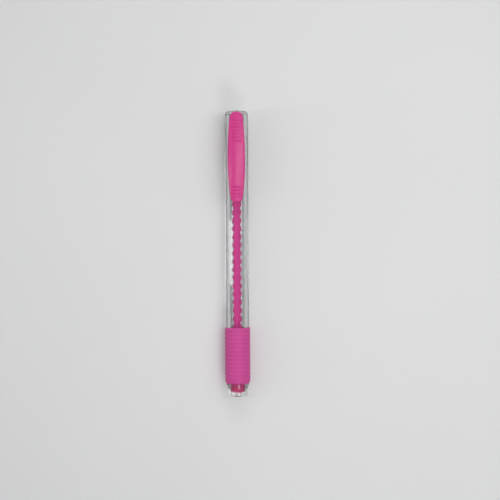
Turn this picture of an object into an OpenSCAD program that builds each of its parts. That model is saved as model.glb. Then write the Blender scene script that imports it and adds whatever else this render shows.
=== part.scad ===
// Retractable stick eraser: a clear slotted barrel with a ribbed grip. A sprung clip rides along
// the slot on a holder and feeds the eraser stick out of the nose, click by click.
// It lies along Y with the mouth towards -Y and the clip up, resting on its grip at Z = 0.
// Stations are measured along the barrel from the tail face, which is station 0.

/* [Overall] */
// Length from the tail face to the mouth
overall_length = 136; // [130:1:150]

/* [Barrel] */
// Outside diameter of the barrel
barrel_d = 11.3; // [10.8:0.1:13]
// Depth of the step in the barrel that takes the grip
grip_seat_depth = 0.7; // [0.5:0.05:0.9]

/* [Slot and clicks] */
// Width of the slot between the crests of its rack
slot_w = 3.2; // [2.9:0.05:3.5]
// Width of the slot at its notches
notch_w = 4.3; // [4.1:0.05:4.7]
// Length of a notch along the slot
notch_length = 3.6; // [3:0.05:3.8]
// Distance from one click to the next
click_pitch = 3.87; // [3.6:0.01:4]
// Clicks from the rest position to the last notch
click_count = 18; // [6:1:18]

/* [Tail plug] */
// Thickness of the plug's end flange
flange_t = 1.6; // [1.4:0.1:2.5]
// Rounding of the flange's rim
rim_round = 1.2; // [0.4:0.1:1.3]
// Length of the plug's spigot in the bore
plug_spigot_length = 4; // [3:0.1:6]
// Wall of the plug's hollow spigot
plug_wall = 1.1; // [0.8:0.1:1.5]
// Length of the key that fills the slot's open end
plug_key_length = 3; // [2:0.1:4]

/* [Grip] */
// Length of the grip
grip_length = 26.7; // [22:0.1:30]
// Height of the grip's ribs over the barrel
grip_proud = 0.4; // [0.2:0.05:0.6]
// Ribs along the grip
rib_count = 14; // [8:1:18]
// Depth of the valleys between the ribs
rib_depth = 0.25; // [0.15:0.05:0.4]
// Length of the rounding at the grip's front end
grip_round_length = 1.8; // [1:0.1:2.5]
// Drop of that rounding at the end face
grip_round_drop = 0.67; // [0.3:0.01:0.8]

/* [Nose] */
// Length of the nose in front of the grip
nose_length = 6.1; // [5:0.1:8]
// Step from the barrel's surface down to the nose's shoulder
nose_inset = 0.3; // [0.2:0.05:0.5]
// Length of the straight shoulder
nose_shoulder_length = 0.5; // [0.3:0.1:1]
// Length of the taper behind the mouth
nose_taper_length = 1.9; // [1:0.1:3]
// Wall at the mouth
nose_wall = 2.25; // [1.8:0.05:2.4]
// Rounding of the mouth's outer edge
mouth_round = 0.5; // [0.2:0.05:0.7]
// Length of the nose's spigot inside the barrel
nose_spigot_length = 12; // [8:0.5:16]

/* [Eraser stick] */
// Diameter of the stick
stick_d = 4.5; // [4:0.1:5]
// How far the stick's end stands back from the mouth at rest
stick_recess = 1.7; // [0.5:0.1:4]
// Rounding of the stick's front edge
stick_round = 0.4; // [0.1:0.05:0.6]

/* [Holder] */
// Wall of the holder's sleeve
holder_wall = 1.2; // [0.9:0.05:1.4]
// Length of the sleeve
holder_length = 20; // [16:0.5:26]
// Thickness of the wall behind the stick
holder_end_t = 1.2; // [0.8:0.1:2]
// Length of the slits between the jaws
jaw_slit_length = 7.5; // [4:0.5:8]
// Width of those slits
jaw_slit_w = 0.8; // [0.5:0.1:1.2]
// Length of the neck along the slot
neck_length = 3.2; // [3:0.1:4]
// Diameter of the trunnions that carry the clip
trunnion_d = 1.5; // [1.2:0.05:1.7]
// Reach of each trunnion beyond the neck
trunnion_reach = 1.3; // [1:0.05:1.5]

/* [Clip] */
// Length of the clip
clip_length = 42.4; // [40:0.1:46]
// Setback of the clip from the tail face
clip_setback = 0.8; // [0.5:0.1:2]
// Width at the widest place
clip_w = 8.3; // [7.8:0.05:9]
// Width at the tail end
clip_tail_w = 6.4; // [6:0.05:7]
// Width at the tip
clip_tip_w = 6.1; // [5.4:0.05:6.6]
// Widest place, from the clip's tail end
clip_widest = 22.7; // [18:0.1:26]
// Corner radius at the tail end
clip_tail_round = 2.8; // [1.5:0.1:3]
// Corner radius at the tip
clip_tip_round = 2.7; // [1.5:0.1:2.7]
// Height of the clip over the barrel at its peak
clip_rise = 3.2; // [3.1:0.05:4]
// Radius of the arch along the clip
clip_arch_r = 228; // [190:1:400]
// Radius of the crown across the clip
clip_crown_r = 8; // [6:0.1:14]
// Peak of the arch, from the clip's tail end
clip_peak = 15.2; // [12:0.1:18]
// Height of the clip's lower edges over the barrel
clip_skirt = 0.25; // [0.2:0.05:0.5]
// Pivot, from the clip's tail end
clip_pivot = 13.7; // [12.5:0.1:15]
// Height of the pivot over the barrel
pivot_rise = 1.45; // [1.35:0.05:1.6]
// Length of the ears that hang on the trunnions
ear_length = 4.6; // [4:0.1:6]
// Depth of the ears below the barrel's top
ear_drop = 0.4; // [0.2:0.05:0.6]
// Travel of the thumb piece, in degrees
press_angle = 4; // [3:0.1:4.5]
// Detent post, from the clip's tail end
clip_detent = 28.285; // [27:0.005:30]
// Depth of the detent post in its notch
detent_depth = 0.9; // [0.7:0.05:1]

/* [Finger grooves] */
// Distance from groove to groove
groove_pitch = 1.62; // [1.2:0.01:1.8]
// Width of a groove
groove_w = 0.8; // [0.4:0.05:1]
// Depth of a groove
groove_depth = 0.3; // [0.1:0.05:0.4]
// Length of a groove across the clip
groove_length = 4.6; // [3:0.1:5]
// Grooves in the thumb pad
pad_groove_count = 7; // [3:1:7]
// Edge of the thumb pad, from the clip's tail end
pad_end = 14.6; // [13:0.1:16]
// Grooves at the tip
tip_groove_count = 4; // [2:1:5]
// Last groove's distance from the tip
tip_groove_margin = 1.4; // [1:0.1:2]

/* [Clip spring] */
// Thickness of the leaf
leaf_t = 0.3; // [0.2:0.05:0.35]
// Width of the leaf
leaf_w = 2; // [1.4:0.1:2.1]
// Length of the leaf's root inside the neck
leaf_root = 1; // [0.6:0.1:1.4]
// Length of the flat stretch behind the neck
leaf_flat = 4.4; // [3:0.1:5]
// Length of the stretch that rises to the thumb pad
leaf_rising = 4.1; // [3:0.1:4.5]

/* [Clearances] */
// Holder in the bore, on the radius
slide_clearance = 0.08; // [0.05:0.01:0.1]
// Stick in the holder, on the radius
stick_clearance = 0.05; // [0.03:0.01:0.08]
// Stick in the mouth, on the radius
mouth_clearance = 0.1; // [0.06:0.01:0.15]
// Seated pieces that don't move, on the radius
seat_clearance = 0.02; // [0.01:0.01:0.05]
// Neck and key in the slot, on each side
neck_clearance = 0.2; // [0.1:0.05:0.3]
// Detent post in a notch, all round
detent_clearance = 0.15; // [0.1:0.01:0.2]
// Clip on the trunnions, on the radius
pivot_clearance = 0.05; // [0.03:0.01:0.08]
// Clip over the grip when it is slid forward
clip_clearance = 0.28; // [0.2:0.01:0.4]
// Thumb pad over the barrel when it is pressed
press_clearance = 0.3; // [0.2:0.05:0.4]
// Clip's inside round the neck
pocket_clearance = 0.25; // [0.2:0.05:0.35]
// Leaf over the barrel
leaf_lift = 0.15; // [0.1:0.01:0.2]
// Leaf under the thumb pad
leaf_clearance = 0.08; // [0.05:0.01:0.15]
// Ends of pieces that face each other along the bore
end_clearance = 0.3; // [0.1:0.05:0.5]

/* [Hidden] */

$fn = 96;
long_arc_fn = 720;
over = 1; // how far a cutting shape runs past the surface it cuts
clip_frame_margin = 0.1; // how far the rounds of the clip's ends stand outside its side arcs

clear_tint = [0.9, 0.94, 0.96, 0.4];
stick_pink = [0.78, 0.25, 0.53];
clip_pink = [0.8, 0.33, 0.57];
grip_pink = [0.75, 0.3, 0.55];
spring_grey = [0.72, 0.73, 0.75];

// Radii from the stick outwards
stick_r = stick_d / 2;
holder_bore_r = stick_r + stick_clearance;
holder_r = holder_bore_r + holder_wall;
bore_r = holder_r + slide_clearance;
barrel_r = barrel_d / 2;
seat_r = barrel_r - grip_seat_depth;
grip_r = barrel_r + grip_proud;
mouth_bore_r = stick_r + mouth_clearance;
mouth_r = mouth_bore_r + nose_wall;
shoulder_r = barrel_r - nose_inset;

// Stations along the barrel
nose_face = overall_length - nose_length;
grip_start = nose_face - grip_length;
holder_start = flange_t + plug_spigot_length + end_clearance;
stick_start = holder_start + holder_end_t + stick_clearance;
stick_end = overall_length - stick_recess;
clip_start = clip_setback;
clip_end = clip_start + clip_length;
widest = clip_start + clip_widest;
pivot = clip_start + clip_pivot;
detent = clip_start + clip_detent;
last_notch = detent + (click_count + 1) * click_pitch;

// Heights over the barrel's axis
clip_top = barrel_r + clip_rise;
skirt_h = barrel_r + clip_skirt;
pivot_h = barrel_r + pivot_rise;
trunnion_r = trunnion_d / 2;
neck_w = slot_w - 2 * neck_clearance;
leaf_base_h = barrel_r + leaf_lift;
clip_under_r = grip_r + clip_clearance;
pressed_r = barrel_r + press_clearance;
ear_gap = leaf_w + 2 * pocket_clearance;

// Arcs given by a chord and its rise
function arc_r(half_chord, rise) = (half_chord * half_chord + rise * rise) / (2 * rise);
rib_pitch = grip_length / rib_count;
rib_round = arc_r(rib_pitch / 2, rib_depth);
grip_round = arc_r(grip_round_length, grip_round_drop);
tail_corner = clip_start + clip_tail_round;
tip_corner = clip_end - clip_tip_round;
tail_side_r = arc_r(widest - tail_corner, (clip_w - clip_tail_w) / 2);
tip_side_r = arc_r(tip_corner - widest, (clip_w - clip_tip_w) / 2);

// Height of the thumb pad's underside at a station, over the edges of a strip of width w
function pad_under_h(station, w) =
    let (edge_h = sqrt(pressed_r * pressed_r - w * w / 4))
    pivot_h + (edge_h - pivot_h - (station - pivot) * sin(press_angle)) / cos(press_angle);

// Lays a piece that is drawn along its stations (Z) with the clip up (Y) into its place
module lay() {
    translate([0, overall_length / 2, grip_r]) rotate([90, 0, 0]) children();
}

// Raises an outline drawn as (X, station) from one height over the axis to another
module from_above(low, high) {
    translate([0, low, 0]) rotate([-90, 0, 0]) linear_extrude(high - low) mirror([0, 1]) children();
}

// A round bar or bore between two stations
module round_bar(r, first, last) {
    translate([0, 0, first]) cylinder(r = r, h = last - first);
}

// Quarter round of an outline's outer corner, centred at (x, y) and facing way (1 or -1) in Y
module quarter_round(x, y, r, way) {
    translate([x, y]) intersection() {
        circle(r = r);
        translate([0, min(way, 0) * r]) square(r);
    }
}

// One notch with its round ends, or with some room all round the post that fits it
module notch_outline(room) {
    inner_w = notch_w - notch_length;
    length = notch_length - 2 * room;
    translate([-inner_w / 2, -length / 2]) square([inner_w, length]);
    for (side = [-1, 1])
        translate([side * inner_w / 2, 0]) circle(d = length);
}

// Slot with its scalloped rack: a straight slot through a row of notches
module slot_outline() {
    translate([-slot_w / 2, flange_t - over]) square([slot_w, last_notch - flange_t + over]);
    for (i = [0 : click_count + 1])
        translate([0, detent + i * click_pitch]) notch_outline(0);
}

module barrel() {
    color(clear_tint) lay() difference() {
        union() {
            round_bar(barrel_r, flange_t, grip_start);
            round_bar(seat_r, grip_start, nose_face);
        }
        round_bar(bore_r, flange_t - over, nose_face + over);
        from_above(0, barrel_r + over) slot_outline();
    }
}

module nose_tip() {
    taper_start = nose_face + nose_shoulder_length;
    taper_end = taper_start + nose_taper_length;
    spigot_r = bore_r - seat_clearance;
    spigot_start = nose_face - nose_spigot_length;
    color(clear_tint) lay() rotate_extrude() {
        polygon([
            [mouth_bore_r, nose_face], [shoulder_r, nose_face], [shoulder_r, taper_start],
            [mouth_r, taper_end], [mouth_r, overall_length - mouth_round],
            [mouth_r - mouth_round, overall_length], [mouth_bore_r, overall_length]
        ]);
        quarter_round(mouth_r - mouth_round, overall_length - mouth_round, mouth_round, 1);
        translate([mouth_bore_r, spigot_start])
            square([spigot_r - mouth_bore_r, nose_spigot_length]);
    }
}

module tail_plug() {
    spigot_r = bore_r - seat_clearance;
    spigot_end = flange_t + plug_spigot_length;
    key_w = slot_w - 2 * seat_clearance;
    color(clear_tint) lay() {
        rotate_extrude() {
            polygon([
                [0, 0], [barrel_r - rim_round, 0], [barrel_r, rim_round], [barrel_r, flange_t],
                [spigot_r, flange_t], [spigot_r, spigot_end], [spigot_r - plug_wall, spigot_end],
                [spigot_r - plug_wall, flange_t], [0, flange_t]
            ]);
            quarter_round(barrel_r - rim_round, rim_round, rim_round, -1);
        }
        intersection() {
            from_above(spigot_r - plug_wall / 2, barrel_r)
                translate([-key_w / 2, 0]) square([key_w, flange_t + plug_key_length]);
            round_bar(barrel_r, flange_t, flange_t + plug_key_length);
        }
    }
}

module grip_outline() {
    inner_r = seat_r + seat_clearance;
    valley_r = grip_r - rib_depth;
    intersection() {
        union() {
            translate([inner_r, grip_start]) square([valley_r - inner_r, grip_length]);
            for (i = [0 : rib_count - 1])
                translate([grip_r - rib_round, grip_start + (i + 0.5) * rib_pitch])
                    circle(r = rib_round, $fn = long_arc_fn);
        }
        translate([inner_r, grip_start]) square([grip_r - inner_r, grip_length]);
        union() {
            translate([0, grip_start]) square([grip_r, grip_length - grip_round_length]);
            translate([grip_r - grip_round, nose_face - grip_round_length])
                circle(r = grip_round, $fn = long_arc_fn);
        }
    }
}

module grip_sleeve() {
    color(grip_pink) lay() rotate_extrude() grip_outline();
}

module eraser_core() {
    color(stick_pink) lay() rotate_extrude() {
        polygon([
            [0, stick_start], [stick_r, stick_start], [stick_r, stick_end - stick_round],
            [stick_r - stick_round, stick_end], [0, stick_end]
        ]);
        quarter_round(stick_r - stick_round, stick_end - stick_round, stick_round, 1);
    }
}

// The leaf's root, or the seat for it in the neck with room all round
module leaf_root_bar(room) {
    from_above(leaf_base_h - room, leaf_base_h + leaf_t + room)
        translate([-leaf_w / 2 - room, pivot - neck_length / 2 - over])
            square([leaf_w + 2 * room, leaf_root + over + room]);
}

module eraser_holder() {
    holder_end = holder_start + holder_length;
    color(clip_pink) lay() {
        difference() {
            union() {
                round_bar(holder_r, holder_start, holder_end);
                from_above(holder_bore_r, pivot_h + trunnion_r)
                    translate([-neck_w / 2, pivot - neck_length / 2]) square([neck_w, neck_length]);
            }
            round_bar(holder_bore_r, holder_start + holder_end_t, holder_end + over);
            for (turn = [45 : 90 : 315])
                rotate([0, 0, turn])
                    translate([0, -jaw_slit_w / 2, holder_end - jaw_slit_length])
                        cube([holder_r + over, jaw_slit_w, jaw_slit_length + over]);
            leaf_root_bar(seat_clearance);
        }
        translate([0, pivot_h, pivot]) rotate([0, 90, 0])
            cylinder(r = trunnion_r, h = neck_w + 2 * trunnion_reach, center = true);
    }
}

// Stretch of the clip between two long side arcs that are widest at the same place
module clip_stretch(side_r, first, last) {
    intersection() {
        translate([-clip_w / 2, first]) square([clip_w, last - first]);
        translate([clip_w / 2 - side_r, widest]) circle(r = side_r, $fn = long_arc_fn);
        translate([side_r - clip_w / 2, widest]) circle(r = side_r, $fn = long_arc_fn);
    }
}

// End of the clip's frame with two round corners, a little wider than the side arcs that cross it
module clip_frame_end(w, r, face, centres) {
    inner_w = w + 2 * clip_frame_margin - 2 * r;
    translate([-inner_w / 2, min(face, centres)]) square([inner_w, r]);
    for (side = [-1, 1])
        translate([side * inner_w / 2, centres]) circle(r = r);
}

// Clip seen from above: long side arcs inside a frame that rounds the two ends
module clip_outline() {
    intersection() {
        union() {
            clip_stretch(tail_side_r, clip_start - over, widest);
            clip_stretch(tip_side_r, widest, clip_end + over);
        }
        union() {
            clip_frame_end(clip_tail_w, clip_tail_round, clip_start, tail_corner);
            translate([-clip_w, tail_corner]) square([2 * clip_w, tip_corner - tail_corner]);
            clip_frame_end(clip_tip_w, clip_tip_round, clip_end, tip_corner);
        }
    }
}

// Doubly curved cap of the clip, arched along it and crowned across it, lowered by drop
module clip_crown(drop) {
    arch_r = clip_arch_r - drop;
    crown_r = clip_crown_r - drop;
    sweep = 2 * asin(clip_length / clip_arch_r);
    depth = clip_rise + over;
    translate([0, clip_top - clip_arch_r, clip_start + clip_peak])
        rotate([0, 90, 0]) rotate([0, 0, 90 - sweep / 2])
            rotate_extrude(angle = sweep, $fn = long_arc_fn * 4) intersection() {
                translate([arch_r - crown_r, 0]) circle(r = crown_r, $fn = long_arc_fn);
                translate([clip_arch_r - depth, -clip_w]) square([depth, 2 * clip_w]);
            }
}

module clip_grooves() {
    difference() {
        from_above(skirt_h, clip_top + over) {
            for (i = [1 : pad_groove_count])
                translate([-groove_length / 2, clip_start + pad_end - i * groove_pitch])
                    square([groove_length, groove_w]);
            for (i = [0 : tip_groove_count - 1])
                translate([-groove_length / 2, clip_end - tip_groove_margin - i * groove_pitch - groove_w])
                    square([groove_length, groove_w]);
        }
        clip_crown(groove_depth);
    }
}

// Everything that the barrel needs clear under the clip, at rest and with the thumb pad pressed
module clip_underside() {
    round_bar(clip_under_r, -over, clip_end + over);
    translate([0, pivot_h, pivot]) rotate([press_angle, 0, 0]) translate([0, -pivot_h, -pivot])
        round_bar(pressed_r, -2 * over, clip_end);
}

module clip_ears() {
    difference() {
        intersection() {
            from_above(barrel_r - ear_drop, pivot_h) clip_outline();
            from_above(0, clip_top)
                translate([-clip_w / 2, pivot - ear_length / 2]) square([clip_w, ear_length]);
        }
        round_bar(skirt_h, 0, clip_end);
        from_above(0, clip_top) translate([-ear_gap / 2, 0]) square([ear_gap, clip_end]);
    }
}

module clip() {
    pocket_w = neck_w + 2 * neck_clearance;
    pocket_length = neck_length + 2 * pocket_clearance;
    color(clip_pink) lay() difference() {
        union() {
            difference() {
                intersection() {
                    from_above(skirt_h, clip_top + over) clip_outline();
                    clip_crown(0);
                }
                clip_underside();
                clip_grooves();
            }
            clip_ears();
            from_above(barrel_r - detent_depth, pivot_h)
                translate([0, detent]) notch_outline(detent_clearance);
        }
        from_above(0, pivot_h + trunnion_r + pocket_clearance)
            translate([-pocket_w / 2, pivot - pocket_length / 2]) square([pocket_w, pocket_length]);
        translate([0, pivot_h, pivot]) rotate([0, 90, 0])
            cylinder(r = trunnion_r + pivot_clearance,
                     h = neck_w + 2 * (trunnion_reach + pivot_clearance), center = true);
    }
}

module clip_spring() {
    root_end = pivot - neck_length / 2 + leaf_root;
    bend = pivot - neck_length / 2 - leaf_flat;
    leaf_end = bend - leaf_rising;
    tip_h = pad_under_h(leaf_end, leaf_w) - leaf_clearance - leaf_t;
    color(spring_grey) lay()
        translate([-leaf_w / 2, 0, 0]) rotate([0, 90, 0]) linear_extrude(leaf_w)
            mirror([1, 0]) polygon([
                [root_end, leaf_base_h], [bend, leaf_base_h], [leaf_end, tip_h],
                [leaf_end, tip_h + leaf_t], [bend, leaf_base_h + leaf_t],
                [root_end, leaf_base_h + leaf_t]
            ]);
}

barrel();
nose_tip();
tail_plug();
grip_sleeve();
eraser_core();
eraser_holder();
clip();
clip_spring();
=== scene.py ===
import math

import bmesh
import bpy
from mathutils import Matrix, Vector


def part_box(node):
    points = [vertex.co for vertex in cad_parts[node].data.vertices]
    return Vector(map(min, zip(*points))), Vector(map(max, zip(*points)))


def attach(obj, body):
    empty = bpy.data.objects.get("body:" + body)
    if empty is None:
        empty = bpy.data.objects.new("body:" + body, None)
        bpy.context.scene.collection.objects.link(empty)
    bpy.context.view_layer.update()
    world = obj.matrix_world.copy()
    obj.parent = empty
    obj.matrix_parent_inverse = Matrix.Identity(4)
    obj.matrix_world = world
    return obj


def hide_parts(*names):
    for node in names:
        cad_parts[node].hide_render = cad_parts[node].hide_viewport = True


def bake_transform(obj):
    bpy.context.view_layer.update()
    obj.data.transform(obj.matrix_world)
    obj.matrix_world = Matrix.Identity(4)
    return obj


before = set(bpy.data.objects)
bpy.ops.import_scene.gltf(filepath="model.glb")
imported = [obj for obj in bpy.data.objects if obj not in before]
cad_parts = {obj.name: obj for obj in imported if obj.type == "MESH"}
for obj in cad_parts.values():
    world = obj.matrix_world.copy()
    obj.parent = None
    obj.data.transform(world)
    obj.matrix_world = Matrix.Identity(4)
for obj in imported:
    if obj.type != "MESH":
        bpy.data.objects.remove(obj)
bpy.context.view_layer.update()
scene = bpy.context.scene
mm = 0.001

axisZ = sum(corner.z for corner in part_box("grip_sleeve")) / 2  # height of the barrel's axis
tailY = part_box("tail_plug")[1].y  # tail face, where stations start
barrelR = (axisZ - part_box("barrel")[0].z) / mm
print("frame loaded, axis at", round(axisZ / mm, 2), "mm")


# x, station from the tail face and height over the axis, in mm, to a point of the frame
def place(x, station, height):
    return (x * mm, tailY - station * mm, axisZ + height * mm)


def stationOf(y):
    return (tailY - y) / mm


def feed(tree, socket, value):
    if isinstance(value, bpy.types.NodeSocket):
        tree.links.new(value, socket)
    else:
        socket.default_value = value


def addNode(tree, kind, inputs=None, **settings):
    made = tree.nodes.new(kind)
    for key, value in settings.items():
        setattr(made, key, value)
    for key, value in (inputs or {}).items():
        feed(tree, made.inputs[key], value)
    return made


def calc(tree, operation, *values):
    return addNode(tree, "ShaderNodeMath", dict(enumerate(values)), operation=operation).outputs[0]


def remap(tree, value, fromLow, fromHigh, toLow, toHigh, kind="LINEAR"):
    inputs = {"Value": value, "From Min": fromLow, "From Max": fromHigh, "To Min": toLow, "To Max": toHigh}
    return addNode(tree, "ShaderNodeMapRange", inputs, interpolation_type=kind).outputs[0]


def noise(tree, coords, scale, detail=3.0):
    inputs = {"Vector": coords, "Scale": scale, "Detail": detail}
    return addNode(tree, "ShaderNodeTexNoise", inputs).outputs[0]


def blendColour(tree, factor, first, second):
    return addNode(tree, "ShaderNodeMix", {0: factor, 6: first, 7: second}, data_type="RGBA").outputs[2]


def newMaterial(name):
    material = bpy.data.materials.new(name)
    material.use_nodes = True
    tree = material.node_tree
    coords = addNode(tree, "ShaderNodeTexCoord").outputs["Object"]
    return material, tree, tree.nodes["Principled BSDF"], coords


# distance from the barrel's axis, in mm
def axisDistance(tree, coords):
    parts = addNode(tree, "ShaderNodeSeparateXYZ", {0: coords}).outputs
    up = calc(tree, "SUBTRACT", parts["Z"], axisZ)
    across = calc(tree, "MULTIPLY", parts["X"], parts["X"])
    squares = calc(tree, "ADD", across, calc(tree, "MULTIPLY", up, up))
    return calc(tree, "DIVIDE", calc(tree, "SQRT", squares), mm)


noiseBand = (0.3, 0.7)  # most of a noise texture's values lie between these


def finishPigment(tree, shader, coords, look, colour):
    feed(tree, shader.inputs["Base Color"], colour)
    shader.inputs["Specular IOR Level"].default_value = look["specular"]
    wear = noise(tree, coords, look["wearScale"])
    feed(tree, shader.inputs["Roughness"], remap(tree, wear, *noiseBand, *look["roughness"]))
    grain = noise(tree, coords, look["grainScale"], detail=2.0)
    bump = addNode(tree, "ShaderNodeBump", {"Height": grain, "Distance": look["grainDepth"], "Strength": 1.0})
    feed(tree, shader.inputs["Normal"], bump.outputs[0])


clearLook = {"tint": (0.72, 0.725, 0.73, 1.0), "shadowTint": (0.72, 0.725, 0.73, 1.0), "ior": 1.49,
             "clearShare": 0.98, "hazeBand": (0.35, 0.7), "roughness": (0.015, 0.05),
             "flowScale": 260.0, "flowStretch": (1.0, 0.12, 1.0), "flowDepth": 0.000002}
clearEndLook = dict(clearLook, tint=(0.95, 0.95, 0.955, 1.0))  # nose and tail plug, moulded clearer


def clearPlastic(name, look):
    material, tree, shader, coords = newMaterial(name)
    shader.inputs["Base Color"].default_value = look["tint"]
    shader.inputs["Transmission Weight"].default_value = look["clearShare"]  # the rest is haze
    shader.inputs["IOR"].default_value = look["ior"]
    haze = noise(tree, coords, look["flowScale"])
    feed(tree, shader.inputs["Roughness"], remap(tree, haze, *look["hazeBand"], *look["roughness"]))
    drawn = addNode(tree, "ShaderNodeMapping", {"Vector": coords, "Scale": look["flowStretch"]}).outputs[0]
    flow = noise(tree, drawn, look["flowScale"], detail=1.0)  # faint flow lines of the moulding
    bump = addNode(tree, "ShaderNodeBump", {"Height": flow, "Distance": look["flowDepth"], "Strength": 1.0})
    feed(tree, shader.inputs["Normal"], bump.outputs[0])
    through = addNode(tree, "ShaderNodeBsdfTransparent", {"Color": look["shadowTint"]})
    path = addNode(tree, "ShaderNodeLightPath")
    inputs = {0: path.outputs["Is Shadow Ray"], 1: shader.outputs[0], 2: through.outputs[0]}
    mix = addNode(tree, "ShaderNodeMixShader", inputs)
    feed(tree, tree.nodes["Material Output"].inputs["Surface"], mix.outputs[0])
    return material


# valley is a painted shade colour: a darker pink for the rib valleys
gripLook = {"colour": (0.56, 0.055, 0.275, 1.0), "paler": (0.6, 0.07, 0.3, 1.0),
            "valley": (0.55, 0.053, 0.268, 1.0), "valleyShadeTop": 1 / 3, "mottleScale": 300.0, "wearScale": 500.0,
            "roughness": (0.5, 0.64), "specular": 0.35, "grainScale": 5000.0, "grainDepth": 0.00002}


def gripRubber(look, crest, depth):
    material, tree, shader, coords = newMaterial("gripRubber")
    skin = blendColour(tree, noise(tree, coords, look["mottleScale"]), look["colour"], look["paler"])
    valleyShadeTop = crest - depth * look["valleyShadeTop"]  # the painted valley shade has faded out here
    # painted shade: the grip darkens towards the bottom of each rib valley, going by distance from the axis
    low = remap(tree, axisDistance(tree, coords), crest - depth, valleyShadeTop, 1.0, 0.0)
    finishPigment(tree, shader, coords, look, blendColour(tree, low, skin, look["valley"]))
    return material


clipLook = {"colour": (0.61, 0.044, 0.234, 1.0), "paler": (0.64, 0.058, 0.258, 1.0), "mottleScale": 180.0,
            "wearScale": 400.0, "roughness": (0.23, 0.31), "specular": 0.25, "grainScale": 3500.0,
            "grainDepth": 0.000008}


def clipPlastic(look):
    material, tree, shader, coords = newMaterial("clipPlastic")
    skin = blendColour(tree, noise(tree, coords, look["mottleScale"]), look["colour"], look["paler"])
    finishPigment(tree, shader, coords, look, skin)
    return material


# front is painted shade: a darker stick colour for where the stick lies in the nose
stickLook = {"colour": (0.56, 0.04, 0.23, 1.0), "paler": (0.6, 0.055, 0.26, 1.0),
             "front": (0.43, 0.01, 0.113, 1.0), "noseShadeFrom": 128.0, "noseShadeTo": 131.0, "mottleScale": 350.0,
             "wearScale": 600.0, "roughness": (0.6, 0.75), "specular": 0.3, "grainScale": 2500.0,
             "grainDepth": 0.00003}


def stickRubber(look):
    material, tree, shader, coords = newMaterial("stickRubber")
    skin = blendColour(tree, noise(tree, coords, look["mottleScale"]), look["colour"], look["paler"])
    along = addNode(tree, "ShaderNodeSeparateXYZ", {0: coords}).outputs["Y"]
    fromY, toY = (place(0, look[key], 0)[1] for key in ("noseShadeFrom", "noseShadeTo"))
    inNoseShade = remap(tree, along, fromY, toY, 0.0, 1.0)  # painted shade: the stick is darker in the nose, where less light reaches it
    finishPigment(tree, shader, coords, look, blendColour(tree, inNoseShade, skin, look["front"]))
    return material


steelLook = {"colour": (0.62, 0.63, 0.65, 1.0), "dark": (0.48, 0.49, 0.51, 1.0), "lineScale": 900.0,
             "lineStretch": (1.0, 0.05, 1.0), "wearScale": 700.0, "roughness": (0.25, 0.4), "specular": 0.5,
             "grainScale": 4000.0, "grainDepth": 0.000005}


def springSteel(look):
    material, tree, shader, coords = newMaterial("springSteel")
    shader.inputs["Metallic"].default_value = 1.0
    rolled = addNode(tree, "ShaderNodeMapping", {"Vector": coords, "Scale": look["lineStretch"]}).outputs[0]
    skin = blendColour(tree, noise(tree, rolled, look["lineScale"]), look["colour"], look["dark"])
    finishPigment(tree, shader, coords, look, skin)
    return material


weld = {"points": 2e-7, "slivers": 1e-7}  # metres


def closeMesh(mesh):
    work = bmesh.new()
    work.from_mesh(mesh)
    bmesh.ops.remove_doubles(work, verts=work.verts, dist=weld["points"])
    bmesh.ops.dissolve_degenerate(work, edges=work.edges, dist=weld["slivers"])
    bmesh.ops.recalc_face_normals(work, faces=work.faces)
    work.to_mesh(mesh)
    work.free()


def newObject(name, points, faces):
    mesh = bpy.data.meshes.new(name)
    mesh.from_pydata(points, [], faces)
    closeMesh(mesh)
    made = bpy.data.objects.new(name, mesh)
    scene.collection.objects.link(made)
    return made


# the modifiers' result as a plain mesh, with the helper objects deleted
def settle(made, helpers=(), sharp=35.0):
    bpy.context.view_layer.update()
    shaped = made.evaluated_get(bpy.context.evaluated_depsgraph_get())
    mesh = bpy.data.meshes.new_from_object(shaped)
    made.modifiers.clear()
    made.data = mesh
    for helper in helpers:
        bpy.data.objects.remove(helper)
    mesh.shade_smooth()
    mesh.set_sharp_from_angle(angle=math.radians(sharp))
    return made


def evenNormals(made):
    made.modifiers.new("evenNormals", "WEIGHTED_NORMAL").keep_sharp = True


def dress(made, material, body, node):
    made.data.materials.clear()
    made.data.materials.append(material)
    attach(made, body)
    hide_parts(node)


def cutWith(made, helper, operation):
    step = made.modifiers.new(helper.name, "BOOLEAN")
    step.operation = operation
    step.object = helper
    step.solver = "EXACT"


# outline of (radius, station, rounding) corners as points, with round corners
def rounded(corners, closed, steps=5):
    points = []
    for i, (r, s, size) in enumerate(corners):
        here = Vector((r, s))
        inner = closed or 0 < i < len(corners) - 1
        if not size or not inner:
            points.append(here)
            continue
        back = (Vector(corners[i - 1][:2]) - here).normalized()
        ahead = (Vector(corners[(i + 1) % len(corners)][:2]) - here).normalized()
        half = back.angle(ahead) / 2
        centre = here + (back + ahead).normalized() * size / math.sin(half)
        first = here + back * size / math.tan(half) - centre
        last = here + ahead * size / math.tan(half) - centre
        turn = first.angle(last)
        for j in range(steps + 1):
            t = j / steps
            arm = first * math.sin((1 - t) * turn) + last * math.sin(t * turn)
            points.append(centre + arm / math.sin(turn))
    return points


# an outline spun round the barrel's axis
def spun(name, corners, closed, around=144):
    outline = rounded(corners, closed)
    count = len(outline)
    points = []
    for i in range(around):
        angle = 2 * math.pi * i / around
        points += [place(r * math.sin(angle), s, r * math.cos(angle)) for r, s in outline]
    faces = []
    for i in range(around):
        near, far = i * count, (i + 1) % around * count
        for j in range(count if closed else count - 1):
            k = (j + 1) % count
            faces.append((near + j, near + k, far + k, far + j))
    return newObject(name, points, faces)


# a flat outline of (x, height) carried from one station to another
def prism(name, outline, first, last):
    count = len(outline)
    points = [place(x, s, h) for s in (first, last) for x, h in outline]
    faces = [tuple(range(count)), tuple(range(count, 2 * count))]
    faces += [(j, (j + 1) % count, count + (j + 1) % count, count + j) for j in range(count)]
    return newObject(name, points, faces)


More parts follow.
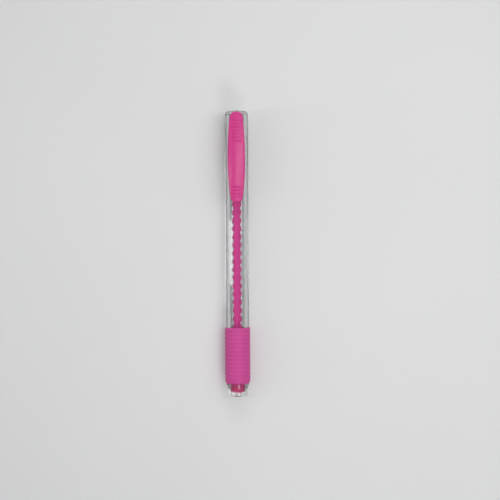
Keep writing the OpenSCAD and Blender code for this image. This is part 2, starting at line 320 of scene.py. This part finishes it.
clearShell = clearPlastic("clearPlastic", clearLook)
clearEnd = clearPlastic("clearEndPlastic", clearEndLook)
barrel = {"tail": 1.6, "gripStart": 103.2, "front": 129.9, "bore": 3.58, "seat": 4.95, "slot": 3.2,
          "notch": 4.3, "notchLength": 3.6, "pitch": 3.87, "firstNotch": 29.085, "notches": 20,
          "edgeRound": 0.12, "edgeSteps": 4, "around": 132, "besideSteps": 2, "fixedX": 2.5,
          "notchSteps": 14, "plainStep": 4.0, "plainRows": 7, "frontRows": 6, "closedBelow": 1e-6,
          "sharp": 30.0}
barrel["endRound"] = barrel["notchLength"] / 2
barrel["endCentre"] = barrel["notch"] / 2 - barrel["endRound"]


def slotHalf(station):
    nearest = round((station - barrel["firstNotch"]) / barrel["pitch"])
    nearest = min(max(nearest, 0), barrel["notches"] - 1)
    off = (station - barrel["firstNotch"] - nearest * barrel["pitch"]) / barrel["endRound"]
    reach = math.sqrt(max(1 - off * off, 0))
    if nearest == barrel["notches"] - 1 and off > 0:
        return barrel["notch"] / 2 * reach  # the slot closes in the last notch
    notch = barrel["endCentre"] + barrel["endRound"] * reach if reach else 0
    return max(notch, barrel["slot"] / 2)


# stations with the outside radius there: close together on the notches, wide apart elsewhere
def barrelStations():
    crest = math.acos((barrel["slot"] / 2 - barrel["endCentre"]) / barrel["endRound"])
    found = [barrel["tail"] + i * barrel["plainStep"] for i in range(barrel["plainRows"])]
    for k in range(barrel["notches"]):
        reach = math.pi / 2 if k == barrel["notches"] - 1 else crest
        for j in range(barrel["notchSteps"] + 1):
            angle = -crest + (reach + crest) * j / barrel["notchSteps"]
            found.append(barrel["firstNotch"] + k * barrel["pitch"] + barrel["endRound"] * math.sin(angle))
    end, rows = found[-1], barrel["frontRows"]
    found += [end + (barrel["front"] - end) * j / rows for j in range(1, rows + 1)]
    rear = [(s, barrelR) for s in found if s < barrel["gripStart"]]
    step = [(barrel["gripStart"], barrelR), (barrel["gripStart"], barrel["seat"])]
    return rear + step + [(s, barrel["seat"]) for s in found if s > barrel["gripStart"]]


# round the barrel from one edge of the slot to the other, with points at fixedX on every ring
def arcFromSlot(radius, edgeX):
    edge, fixed = math.asin(edgeX / radius), math.asin(barrel["fixedX"] / radius)
    steps = barrel["around"]
    beside = [edge + (fixed - edge) * j / barrel["besideSteps"] for j in range(barrel["besideSteps"])]
    angles = beside + [fixed + 2 * (math.pi - fixed) * j / steps for j in range(steps + 1)]
    angles += [2 * math.pi - a for a in reversed(beside)]
    return [(radius * math.sin(a), radius * math.cos(a)) for a in angles]


def barrelRing(station, outer):
    half = slotHalf(station)
    soft = min(barrel["edgeRound"], half / 2)
    outside = arcFromSlot(outer, half + soft)
    inside = arcFromSlot(barrel["bore"], half)
    corner = Vector((half, math.sqrt(outer * outer - half * half)))
    top, wall = Vector(outside[0]), Vector((half, corner.y - soft))
    turns = [(j + 1) / barrel["edgeSteps"] for j in range(barrel["edgeSteps"])]
    edge = [top * (1 - t) ** 2 + corner * 2 * t * (1 - t) + wall * t * t for t in turns]
    left = [(-x, h) for x, h in edge]
    right = [tuple(point) for point in reversed(edge)]
    return outside + left + inside[::-1] + right


def buildBarrel():
    stations = barrelStations()
    rings = [barrelRing(*entry) for entry in stations]
    count = len(rings[0])
    arc = barrel["around"] + 1 + 2 * barrel["besideSteps"]
    edge = (count - 2 * arc) // 2
    points = [place(x, s, h) for (s, outer), ring in zip(stations, rings) for x, h in ring]
    faces = [tuple(range(count))]
    for i in range(len(rings) - 1):
        isOpen = slotHalf(stations[i][0]) > barrel["closedBelow"]
        for j in range(count):
            onArc = j < arc - 1 or arc + edge <= j < 2 * arc + edge - 1
            if isOpen or onArc:
                k = (j + 1) % count
                faces.append((i * count + j, i * count + k, (i + 1) * count + k, (i + 1) * count + j))
    last = (len(rings) - 1) * count
    for j in range(arc - 1):
        inner = 2 * arc + edge - 1 - j
        faces.append((last + j, last + j + 1, last + inner - 1, last + inner))
    made = newObject("clearBarrel", points, faces)
    made.data.shade_smooth()
    made.data.set_sharp_from_angle(angle=math.radians(barrel["sharp"]))
    evenNormals(made)
    return settle(made, sharp=barrel["sharp"])


dress(buildBarrel(), clearShell, "casing", "barrel")
print("barrel with its rack slot made")

stick = {"radius": 2.25, "tail": 7.15, "front": 134.3, "tailEdge": 0.1, "edge": 0.6}
stickShape = [(0, stick["tail"], 0), (stick["radius"], stick["tail"], stick["tailEdge"]),
              (stick["radius"], stick["front"], stick["edge"]), (0, stick["front"], 0)]
eraserStick = settle(spun("eraserStick", stickShape, False))
dress(eraserStick, stickRubber(stickLook), "stick", "eraser_core")
print("eraser stick made")

contact = 0.01  # clear pieces that touch sink this far into each other, so that no air film shows
nose = {"bore": stick["radius"] - contact, "spigot": 3.56, "spigotTail": 117.9,
        "face": barrel["front"] - contact, "shoulder": 5.35, "taperFrom": 130.4, "taperTo": 132.3,
        "mouth": 4.6, "end": 136.0,
        "boreEdge": 0.1, "spigotEdge": 0.2, "spigotRoot": 0.05, "shoulderEdge": 0.12, "taperBend": 0.4,
        "mouthBend": 1.2, "rim": 1.0, "lip": 0.25}
noseShape = [(nose["bore"], nose["spigotTail"], nose["boreEdge"]),
             (nose["spigot"], nose["spigotTail"], nose["spigotEdge"]),
             (nose["spigot"], nose["face"], nose["spigotRoot"]),
             (nose["shoulder"], nose["face"], nose["shoulderEdge"]),
             (nose["shoulder"], nose["taperFrom"], nose["taperBend"]),
             (nose["mouth"], nose["taperTo"], nose["mouthBend"]),
             (nose["mouth"], nose["end"], nose["rim"]),
             (nose["bore"], nose["end"], nose["lip"])]
noseTip = spun("noseTip", noseShape, True)
dress(settle(noseTip), clearEnd, "casing", "nose_tip")

plug = {"flange": barrel["tail"] + contact, "rim": 1.2, "seam": 0.03, "spigot": 3.56, "spigotRoot": 0.05,
        "spigotEdge": 0.2, "wall": 1.1, "hollowBend": 0.3, "end": 5.6,
        "keyHalf": 1.58, "keyStart": 1.0, "keyEnd": 4.6, "keyBelow": 0.01, "keySteps": 8}
plugInner = plug["spigot"] - plug["wall"]
plugShape = [(0, 0, 0), (barrelR, 0, plug["rim"]), (barrelR, plug["flange"], plug["seam"]),
             (plug["spigot"], plug["flange"], plug["spigotRoot"]),
             (plug["spigot"], plug["end"], plug["spigotEdge"]),
             (plugInner, plug["end"], plug["spigotEdge"]), (plugInner, plug["flange"], plug["hollowBend"]),
             (0, plug["flange"], 0)]
tailPlug = spun("tailPlug", plugShape, False)
keySides = [plug["keyHalf"] * (i / plug["keySteps"] - 1) for i in range(2 * plug["keySteps"] + 1)]
keyTop = [(x, math.sqrt(barrelR ** 2 - x * x) - plug["keyBelow"]) for x in keySides]
keyFoot = plug["spigot"] - plug["wall"] / 2
keyOutline = keyTop + [(plug["keyHalf"], keyFoot), (-plug["keyHalf"], keyFoot)]
slotKey = prism("slotKey", keyOutline, plug["keyStart"], plug["keyEnd"])
cutWith(tailPlug, slotKey, "UNION")
dress(settle(tailPlug, [slotKey]), clearEnd, "casing", "tail_plug")
print("nose and tail plug made")


def newTree(name, inputs):
    tree = bpy.data.node_groups.new(name, "GeometryNodeTree")
    tree.interface.new_socket("Geometry", in_out="INPUT", socket_type="NodeSocketGeometry")
    for label, kind in inputs.items():
        tree.interface.new_socket(label, in_out="INPUT", socket_type=kind)
    tree.interface.new_socket("Geometry", in_out="OUTPUT", socket_type="NodeSocketGeometry")
    return tree, tree.nodes.new("NodeGroupInput").outputs, tree.nodes.new("NodeGroupOutput").inputs


def endTree(tree, sockets, ending, geometry):
    real = addNode(tree, "GeometryNodeRealizeInstances", {"Geometry": geometry})
    painted = addNode(tree, "GeometryNodeSetMaterial",
                      {"Geometry": real.outputs[0], "Material": sockets["Material"]})
    feed(tree, ending["Geometry"], painted.outputs[0])


def runTree(made, tree, values):
    step = made.modifiers.new(tree.name, "NODES")
    step.node_group = tree
    for item in tree.interface.items_tree:
        if item.in_out == "INPUT" and item.name in values:
            step[item.identifier] = values[item.name]


# ribbed sleeve: the ribs are a rule along the outline, which is spun round the axis
def ribbedSleeveTree():
    sizes = ("Length", "Crest", "Seat", "Rib Count", "Rib Depth", "Round Length", "Round Drop", "Start",
             "Axis Height", "Path Radius")
    inputs = {label: "NodeSocketFloat" for label in sizes}
    inputs.update({"Steps": "NodeSocketInt", "Around": "NodeSocketInt", "Material": "NodeSocketMaterial"})
    tree, given, ending = newTree("ribbedSleeve", inputs)
    index = addNode(tree, "GeometryNodeInputIndex").outputs[0]
    count = calc(tree, "ADD", given["Steps"], 3.0)  # the ribbed line, and two points back along the seat
    along = calc(tree, "MINIMUM", calc(tree, "DIVIDE", index, given["Steps"]), 1.0)
    inRib = calc(tree, "FRACT", calc(tree, "MULTIPLY", along, given["Rib Count"]))
    fromCrest = calc(tree, "MULTIPLY", calc(tree, "ABSOLUTE", calc(tree, "SUBTRACT", inRib, 0.5)), 2.0)
    valley = calc(tree, "MULTIPLY", calc(tree, "POWER", fromCrest, 2.0), given["Rib Depth"])
    fromEnd = calc(tree, "MULTIPLY", calc(tree, "SUBTRACT", 1.0, along), given["Length"])
    bend = calc(tree, "SUBTRACT", 1.0, calc(tree, "DIVIDE", fromEnd, given["Round Length"]))
    bent = calc(tree, "POWER", calc(tree, "MAXIMUM", bend, 0.0), 2.0)
    drop = calc(tree, "MULTIPLY", bent, given["Round Drop"])
    outer = calc(tree, "SUBTRACT", given["Crest"], calc(tree, "MAXIMUM", valley, drop))
    onSeat = calc(tree, "GREATER_THAN", index, calc(tree, "ADD", given["Steps"], 0.5))
    inward = calc(tree, "MULTIPLY", onSeat, calc(tree, "SUBTRACT", given["Seat"], outer))
    radius = calc(tree, "ADD", outer, inward)
    atStart = calc(tree, "GREATER_THAN", index, calc(tree, "ADD", given["Steps"], 1.5))
    share = calc(tree, "MULTIPLY", along, calc(tree, "SUBTRACT", 1.0, atStart))
    reach = calc(tree, "MULTIPLY", share, given["Length"])
    loop = addNode(tree, "GeometryNodeMeshCircle", {"Vertices": count})
    spot = addNode(tree, "ShaderNodeCombineXYZ", {"X": radius, "Y": reach})
    outline = addNode(tree, "GeometryNodeSetPosition",
                      {"Geometry": loop.outputs[0], "Position": spot.outputs[0]})
    profile = addNode(tree, "GeometryNodeMeshToCurve", {0: outline.outputs[0]})
    path = addNode(tree, "GeometryNodeCurvePrimitiveCircle",
                   {"Resolution": given["Around"], "Radius": given["Path Radius"]})
    body = addNode(tree, "GeometryNodeCurveToMesh",
                   {"Curve": path.outputs[0], "Profile Curve": profile.outputs[0]})
    lift = addNode(tree, "ShaderNodeCombineXYZ", {"Y": given["Start"], "Z": given["Axis Height"]})
    laid = addNode(tree, "GeometryNodeTransform",
                   {"Geometry": body.outputs[0], "Translation": lift.outputs[0],
                    "Rotation": (-math.pi / 2, 0.0, 0.0)})
    endTree(tree, given, ending, laid.outputs[0])
    return tree


grip = {"crest": 6.05, "seat": 4.97, "ribs": 14, "ribDepth": 0.2, "roundLength": 1.8, "roundDrop": 0.67,
        "stepsPerRib": 14, "around": 144, "pathR": 0.000001}  # the outline already has the radius
gripLow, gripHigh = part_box("grip_sleeve")
gripPink = gripRubber(gripLook, grip["crest"], grip["ribDepth"])
gripSleeve = newObject("gripSleeve", [(0, 0, 0)], [])
runTree(gripSleeve, ribbedSleeveTree(), {
    "Length": gripHigh.y - gripLow.y, "Crest": grip["crest"] * mm, "Seat": grip["seat"] * mm,
    "Rib Count": float(grip["ribs"]), "Rib Depth": grip["ribDepth"] * mm,
    "Round Length": grip["roundLength"] * mm, "Round Drop": grip["roundDrop"] * mm,
    "Start": gripHigh.y, "Axis Height": axisZ, "Path Radius": grip["pathR"] * mm,
    "Steps": grip["ribs"] * grip["stepsPerRib"], "Around": grip["around"], "Material": gripPink})
settle(gripSleeve)
closeMesh(gripSleeve.data)
dress(settle(gripSleeve), gripPink, "casing", "grip_sleeve")
print("ribbed grip made")

clip = {"widest": 23.5, "width": 8.3, "tailWidth": 6.4, "tailSide": 3.6, "tipWidth": 6.1, "tipSide": 40.5,
        "tailRound": 2.8, "tailPower": 2.4, "tipRound": 2.2, "tipPower": 2.8, "top": 8.85, "peak": 16.0,
        "archR": 228.0, "crownR": 8.0, "skirt": 5.9, "underR": 6.33, "pressedR": 5.95, "pressAngle": 4.0,
        "pivot": 14.5, "pivotHeight": 7.1, "edge": 0.55, "lowerEdge": 0.2, "edgeSteps": 6, "across": 44,
        "rowStep": 0.135, "endSteps": 18, "padEnd": 15.4, "padRecess": 0.14,
        "tipReach": 0.35}  # how far the tip ends beyond the solid's
clipLow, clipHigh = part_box("clip")
clip["start"], clip["end"] = stationOf(clipHigh.y), stationOf(clipLow.y) + clip["tipReach"]


def clipSide(station):
    half = clip["width"] / 2
    tailward = station < clip["widest"]
    chord = abs(clip["widest"] - clip["tailSide" if tailward else "tipSide"])
    rise = half - clip["tailWidth" if tailward else "tipWidth"] / 2
    radius = (chord ** 2 + rise ** 2) / (2 * rise)
    return half - radius + math.sqrt(radius ** 2 - (station - clip["widest"]) ** 2)


# half width and station down one side, with rounded ends
def clipChain():
    tail, tip = clip["tailRound"], clip["tipRound"]
    steps = clip["endSteps"]
    chain = []
    for j in range(steps):
        turn = math.pi / 2 * j / steps
        s = clip["start"] + tail * (1 - math.cos(turn) ** (2 / clip["tailPower"]))
        chain.append((clipSide(s) * math.sin(turn) ** (2 / clip["tailPower"]), s))
    first, last = clip["start"] + tail, clip["end"] - tip
    rows = round((last - first) / clip["rowStep"])
    chain += [(clipSide(s), s) for s in (first + (last - first) * j / rows for j in range(rows))]
    for j in range(steps, -1, -1):
        turn = math.pi / 2 * j / steps
        s = clip["end"] - tip * (1 - math.cos(turn) ** (2 / clip["tipPower"]))
        chain.append((clipSide(s) * math.sin(turn) ** (2 / clip["tipPower"]), s))
    return chain


def clipTop(x, station):
    ring = clip["archR"] - clip["crownR"] + math.sqrt(clip["crownR"] ** 2 - x * x)
    return clip["top"] - clip["archR"] + math.sqrt(ring ** 2 - (station - clip["peak"]) ** 2)


def clipUnder(x, station):
    press = math.radians(clip["pressAngle"])
    overBarrel = math.sqrt(clip["underR"] ** 2 - x * x)
    edge = math.sqrt(clip["pressedR"] ** 2 - x * x) - clip["pivotHeight"]
    pressed = clip["pivotHeight"] + (edge - (station - clip["pivot"]) * math.sin(press)) / math.cos(press)
    return max(clip["skirt"], overBarrel, pressed)


# the chain moved inwards by a distance, square to itself
def movedIn(chain, distance):
    moved = []
    for i, (x, s) in enumerate(chain):
        if i in (0, len(chain) - 1):
            moved.append((0.0, s + (distance if i == 0 else -distance)))
            continue
        dx, ds = chain[i + 1][0] - chain[i - 1][0], chain[i + 1][1] - chain[i - 1][1]
        size = math.hypot(dx, ds)
        moved.append((max(x - distance * ds / size, 0.0), s + distance * dx / size))
    return moved


def buildClipBody():
    chain = clipChain()
    rows, across = len(chain), clip["across"]
    points, faces = [], []

    def addLoop(ring, heightOf):
        start = len(points)
        points.extend(place(x, s, heightOf(x, s)) for x, s in ring)
        points.extend(place(-x, s, heightOf(x, s)) for x, s in reversed(ring))
        return start

    def addSkin(ring, heightOf):
        start = len(points)
        for x, s in ring:
            spread = [x * (1 - 2 * m / across) for m in range(across + 1)]
            points.extend(place(w, s, heightOf(w, s)) for w in spread)
        for i in range(rows - 1):
            for m in range(across):
                a = start + i * (across + 1) + m
                faces.append((a, a + 1, a + across + 2, a + across + 1))

    quarter = [math.pi / 2 * j / clip["edgeSteps"] for j in range(clip["edgeSteps"] + 1)]
    loops = []
    for turn in reversed(quarter):
        size = clip["lowerEdge"]
        ring = movedIn(chain, size * (1 - math.cos(turn)))
        loops.append(addLoop(ring, lambda x, s: clipUnder(x, s) + size * (1 - math.sin(turn))))
    for turn in quarter:
        size = clip["edge"]
        ring = movedIn(chain, size * (1 - math.cos(turn)))
        loops.append(addLoop(ring, lambda x, s: clipTop(x, s) - size * (1 - math.sin(turn))))
    for near, far in zip(loops, loops[1:]):
        for j in range(2 * rows):
            k = (j + 1) % (2 * rows)
            faces.append((near + j, near + k, far + k, far + j))
    addSkin(movedIn(chain, clip["edge"]), clipTop)
    addSkin(movedIn(chain, clip["lowerEdge"]), clipUnder)
    return newObject("pocketClip", points, faces)


# finger grooves pressed into the top by a rule along the clip
def grooveTree():
    sizes = ("Tail Y", "Pitch", "Width", "Depth", "Half Length", "Fade", "Pad Start", "Pad Count",
             "Tip Start", "Tip Count", "Pad Recess")
    inputs = {label: "NodeSocketFloat" for label in sizes}
    inputs["Material"] = "NodeSocketMaterial"
    tree, given, ending = newTree("fingerGrooves", inputs)
    spot = addNode(tree, "GeometryNodeInputPosition").outputs[0]
    parts = addNode(tree, "ShaderNodeSeparateXYZ", {0: spot}).outputs
    normal = addNode(tree, "GeometryNodeInputNormal").outputs[0]
    facing = addNode(tree, "ShaderNodeSeparateXYZ", {0: normal}).outputs
    along = calc(tree, "SUBTRACT", given["Tail Y"], parts["Y"])

    def grooveRow(first, number):
        step = calc(tree, "DIVIDE", calc(tree, "SUBTRACT", along, first), given["Pitch"])
        begun = calc(tree, "GREATER_THAN", step, 0.0)
        inside = calc(tree, "MULTIPLY", begun, calc(tree, "LESS_THAN", step, number))
        off = calc(tree, "ABSOLUTE", calc(tree, "SUBTRACT", calc(tree, "FRACT", step), 0.5))
        width = calc(tree, "MULTIPLY", off, calc(tree, "MULTIPLY", given["Pitch"], 2.0))
        share = calc(tree, "DIVIDE", width, given["Width"])
        return calc(tree, "MULTIPLY", inside, remap(tree, share, *groove["wall"], 1.0, 0.0, "SMOOTHSTEP"))

    rows = calc(tree, "ADD", grooveRow(given["Pad Start"], given["Pad Count"]),
                grooveRow(given["Tip Start"], given["Tip Count"]))
    side = calc(tree, "ABSOLUTE", parts["X"])
    inner = calc(tree, "SUBTRACT", given["Half Length"], given["Fade"])
    window = remap(tree, side, inner, given["Half Length"], 1.0, 0.0, "SMOOTHSTEP")
    padEnd = calc(tree, "ADD", given["Pad Start"], calc(tree, "MULTIPLY", given["Pad Count"], given["Pitch"]))
    beyond = calc(tree, "SUBTRACT", along, padEnd)
    slope = calc(tree, "MULTIPLY", given["Width"], groove["padSlope"])
    padSide = remap(tree, beyond, 0.0, slope, 1.0, 0.0, "SMOOTHSTEP")
    press = calc(tree, "ADD", calc(tree, "MULTIPLY", rows, given["Depth"]),
                 calc(tree, "MULTIPLY", padSide, given["Pad Recess"]))
    top = calc(tree, "GREATER_THAN", facing["Z"], groove["facing"])
    down = calc(tree, "MULTIPLY", calc(tree, "MULTIPLY", press, window), calc(tree, "MULTIPLY", top, -1.0))
    offset = addNode(tree, "ShaderNodeCombineXYZ", {"Z": down}).outputs[0]
    source = next(socket for socket in given if socket.name == "Geometry")
    pressed = addNode(tree, "GeometryNodeSetPosition", {"Geometry": source, "Offset": offset})
    endTree(tree, given, ending, pressed.outputs[0])
    return tree


groove = {"pitch": 1.62, "width": 0.7, "depth": 0.26, "halfLength": 2.6, "fade": 0.5, "padCount": 7,
          "tipCount": 4, "tipMargin": 1.4, "facing": 0.6,
          "wall": (0.35, 1.05), "padSlope": 0.4}  # wall and padSlope are shares of the width
clipParts = {"earHalfLength": 2.3, "earDrop": 0.4, "earInner": 5.9, "earGap": 1.25, "earInset": 0.05,
             "earSteps": 6, "postRoom": 0.15, "post": barrel["firstNotch"], "postFoot": 4.75,
             "pocketHalf": 1.6, "pocketHalfLength": 1.85, "pocketTop": 8.1, "boreR": 0.8, "boreHalf": 2.75,
             "into": 6.9}


def barAcross(name, radius, half, station, height, steps=48):
    turns = [2 * math.pi * i / steps for i in range(steps)]
    points = [place(x, station + radius * math.cos(a), height + radius * math.sin(a)) for x in (-half, half)
              for a in turns]
    faces = [tuple(range(steps)), tuple(range(steps, 2 * steps))]
    faces += [(j, (j + 1) % steps, steps + (j + 1) % steps, steps + j) for j in range(steps)]
    return newObject(name, points, faces)


# the detent post, which has a notch's shape less its clearance
def buildPost(steps=24):
    radius = barrel["endRound"] - clipParts["postRoom"]
    outline = []
    for side in (1, -1):
        for i in range(steps + 1):
            turn = math.pi * (i / steps - 0.5)
            across = barrel["endCentre"] + radius * math.cos(turn)
            outline.append((side * across, side * radius * math.sin(turn)))
    count = len(outline)
    heights = (clipParts["postFoot"], clipParts["into"])
    points = [place(x, clipParts["post"] + s, h) for h in heights for x, s in outline]
    faces = [tuple(range(count)), tuple(range(count, 2 * count))]
    faces += [(j, (j + 1) % count, count + (j + 1) % count, count + j) for j in range(count)]
    return newObject("post", points, faces)


def earOutline(side):
    foot = barrelR - clipParts["earDrop"]
    reach = clipSide(clip["pivot"] - clipParts["earHalfLength"]) - clipParts["earInset"]
    inner = clipParts["earInner"]
    start = math.asin(clipParts["earGap"] / inner)
    stop = math.acos(foot / inner)
    steps = clipParts["earSteps"]
    turns = [start + (stop - start) * i / steps for i in range(steps + 1)]
    arc = [(inner * math.sin(a), inner * math.cos(a)) for a in turns]
    outline = [(clipParts["earGap"], clipParts["into"])] + arc + [(reach, foot), (reach, clipParts["into"])]
    return [(side * x, h) for x, h in outline]


def buildClip():
    made = buildClipBody()
    runTree(made, grooveTree(), {
        "Tail Y": tailY, "Pitch": groove["pitch"] * mm, "Width": groove["width"] * mm,
        "Depth": groove["depth"] * mm, "Half Length": groove["halfLength"] * mm, "Fade": groove["fade"] * mm,
        "Pad Start": (clip["padEnd"] - groove["padCount"] * groove["pitch"]) * mm,
        "Pad Count": float(groove["padCount"]),
        "Tip Start": (clip["end"] - groove["tipMargin"] - groove["tipCount"] * groove["pitch"]) * mm,
        "Tip Count": float(groove["tipCount"]), "Pad Recess": clip["padRecess"] * mm, "Material": clipPink})
    settle(made)
    helpers = []
    for side in (-1, 1):
        ends = (clip["pivot"] - clipParts["earHalfLength"], clip["pivot"] + clipParts["earHalfLength"])
        helpers.append(prism("ear", earOutline(side), *ends))
        cutWith(made, helpers[-1], "UNION")
    helpers.append(buildPost())
    cutWith(made, helpers[-1], "UNION")
    half, length = clipParts["pocketHalf"], clipParts["pocketHalfLength"]
    pocket = [(-half, 0), (half, 0), (half, clipParts["pocketTop"]), (-half, clipParts["pocketTop"])]
    helpers.append(prism("pocket", pocket, clip["pivot"] - length, clip["pivot"] + length))
    cutWith(made, helpers[-1], "DIFFERENCE")
    radius, reach = clipParts["boreR"], clipParts["boreHalf"]
    helpers.append(barAcross("bore", radius, reach, clip["pivot"], clip["pivotHeight"]))
    cutWith(made, helpers[-1], "DIFFERENCE")
    return settle(made, helpers)


clipPink = clipPlastic(clipLook)
dress(buildClip(), clipPink, "clip_lever", "clip")
print("clip made")

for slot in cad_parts["eraser_holder"].material_slots:
    slot.material = clipPink
print("holder finished")

leaf = {"thickness": 0.26, "shorter": 0.35, "corner": 0.7, "riseFrom": 9.5, "rise": 0.39, "risePower": 1.3,
        "rows": 36, "cornerRows": 6, "bendFrom": 13.2, "bendTo": 7.0}
leafLow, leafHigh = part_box("clip_spring")
leaf["root"], leaf["end"] = stationOf(leafLow.y), stationOf(leafHigh.y) + leaf["shorter"]
leaf["half"] = (leafHigh.x - leafLow.x) / mm / 2
leaf["base"] = (leafLow.z - axisZ) / mm


# half width and station from the root in the holder's neck to the rounded end under the clip's tail
def leafRows():
    first, last, corner = leaf["root"], leaf["end"] + leaf["corner"], leaf["corner"]
    rows = [(leaf["half"], first + (last - first) * j / leaf["rows"]) for j in range(leaf["rows"])]
    turns = [math.pi / 2 * j / leaf["cornerRows"] for j in range(leaf["cornerRows"] + 1)]
    return rows + [(leaf["half"] - corner * (1 - math.cos(a)), last - corner * math.sin(a)) for a in turns]


def buildLeaf():
    points = []
    for half, s in leafRows():
        share = max(leaf["riseFrom"] - s, 0) / (leaf["riseFrom"] - leaf["end"])
        low = leaf["base"] + leaf["rise"] * share ** leaf["risePower"]
        top = low + leaf["thickness"]
        points += [place(x, s, h) for x, h in ((-half, low), (half, low), (half, top), (-half, top))]
    last = len(points) - 4
    faces = [(0, 1, 2, 3), (last, last + 1, last + 2, last + 3)]
    for i in range(0, last, 4):
        faces += [(i + j, i + (j + 1) % 4, i + 4 + (j + 1) % 4, i + 4 + j) for j in range(4)]
    return settle(newObject("leafSpring", points, faces))


# the leaf is built in place, rising from its root in the holder towards its end under the clip's tail
leafSpring = buildLeaf()
leafSpring.data.materials.append(springSteel(steelLook))
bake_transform(leafSpring)
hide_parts("clip_spring")
print("leaf spring made")

# table and light
floorLook = {"colour": (0.7, 0.7, 0.705, 1.0), "paler": (0.74, 0.74, 0.74, 1.0), "mottleScale": 9.0,
             "wearScale": 20.0, "roughness": (0.55, 0.65), "specular": 0.05, "grainScale": 700.0,
             "grainDepth": 0.00001, "half": 3.0}


def buildFloor(look):
    half = look["half"]
    mesh = bpy.data.meshes.new("floor")
    corners = [(-half, -half, 0), (half, -half, 0), (half, half, 0), (-half, half, 0)]
    mesh.from_pydata(corners, [], [(0, 1, 2, 3)])
    made = bpy.data.objects.new("floor", mesh)
    scene.collection.objects.link(made)
    material, tree, shader, coords = newMaterial("floorPaper")
    skin = blendColour(tree, noise(tree, coords, look["mottleScale"]), look["colour"], look["paler"])
    finishPigment(tree, shader, coords, look, skin)
    mesh.materials.append(material)


# the side lamp is narrow, so that the floor below it stays even
lamps = {"keyLamp": {"at": (0.18, 0.04, 0.47), "size": (0.14, 0.5), "power": 1.06},
         "sideLamp": {"at": (-0.46, 0.0, 0.28), "size": (0.06, 0.6), "power": 0.2, "spread": 90.0},
         "frontLamp": {"at": (0.14, -0.42, 0.4), "size": (0.2, 0.16), "power": 0.7},
         "backLamp": {"at": (0.0, 0.45, 0.34), "size": (0.3, 0.12), "power": 0.65}}


def addLamp(name, at, size, power, spread=180.0):
    light = bpy.data.lights.new(name, "AREA")
    light.shape = "RECTANGLE"
    light.size, light.size_y = size
    light.energy = power
    light.spread = math.radians(spread)
    made = bpy.data.objects.new(name, light)
    made.location = at
    made.rotation_euler = (Vector((0, 0, axisZ)) - made.location).to_track_quat("-Z", "Y").to_euler()
    scene.collection.objects.link(made)


worldLook = {"horizon": (0.26, 0.26, 0.265, 1.0), "zenith": (0.3, 0.305, 0.31, 1.0), "from": 0.1, "to": 0.8}


def buildWorld(look):
    world = bpy.data.worlds.new("studio")
    scene.world = world
    world.use_nodes = True
    tree = world.node_tree
    direction = addNode(tree, "ShaderNodeTexCoord").outputs["Generated"]
    up = addNode(tree, "ShaderNodeSeparateXYZ", {0: direction}).outputs["Z"]
    share = remap(tree, up, look["from"], look["to"], 0.0, 1.0, "SMOOTHSTEP")
    sky = blendColour(tree, share, look["horizon"], look["zenith"])
    feed(tree, tree.nodes["Background"].inputs["Color"], sky)


buildFloor(floorLook)
buildWorld(worldLook)
for name, lamp in lamps.items():
    addLamp(name, **lamp)

# in mm at the height of the barrel's axis, with the roll in radians
view = {"distance": 575.0, "span": 239.3, "aimX": 6.19, "aimY": 1.77, "sensor": 36.0, "roll": -0.006}
camera = bpy.data.objects.new("camera", bpy.data.cameras.new("camera"))
camera.data.sensor_width = view["sensor"]
camera.data.lens = view["sensor"] * view["distance"] / view["span"]
camera.location = (view["aimX"] * mm, view["aimY"] * mm, axisZ + view["distance"] * mm)
camera.rotation_euler = (0.0, 0.0, view["roll"])
scene.collection.objects.link(camera)
scene.camera = camera
scene.view_settings.view_transform = "Standard"
print("floor, lamps and camera set")
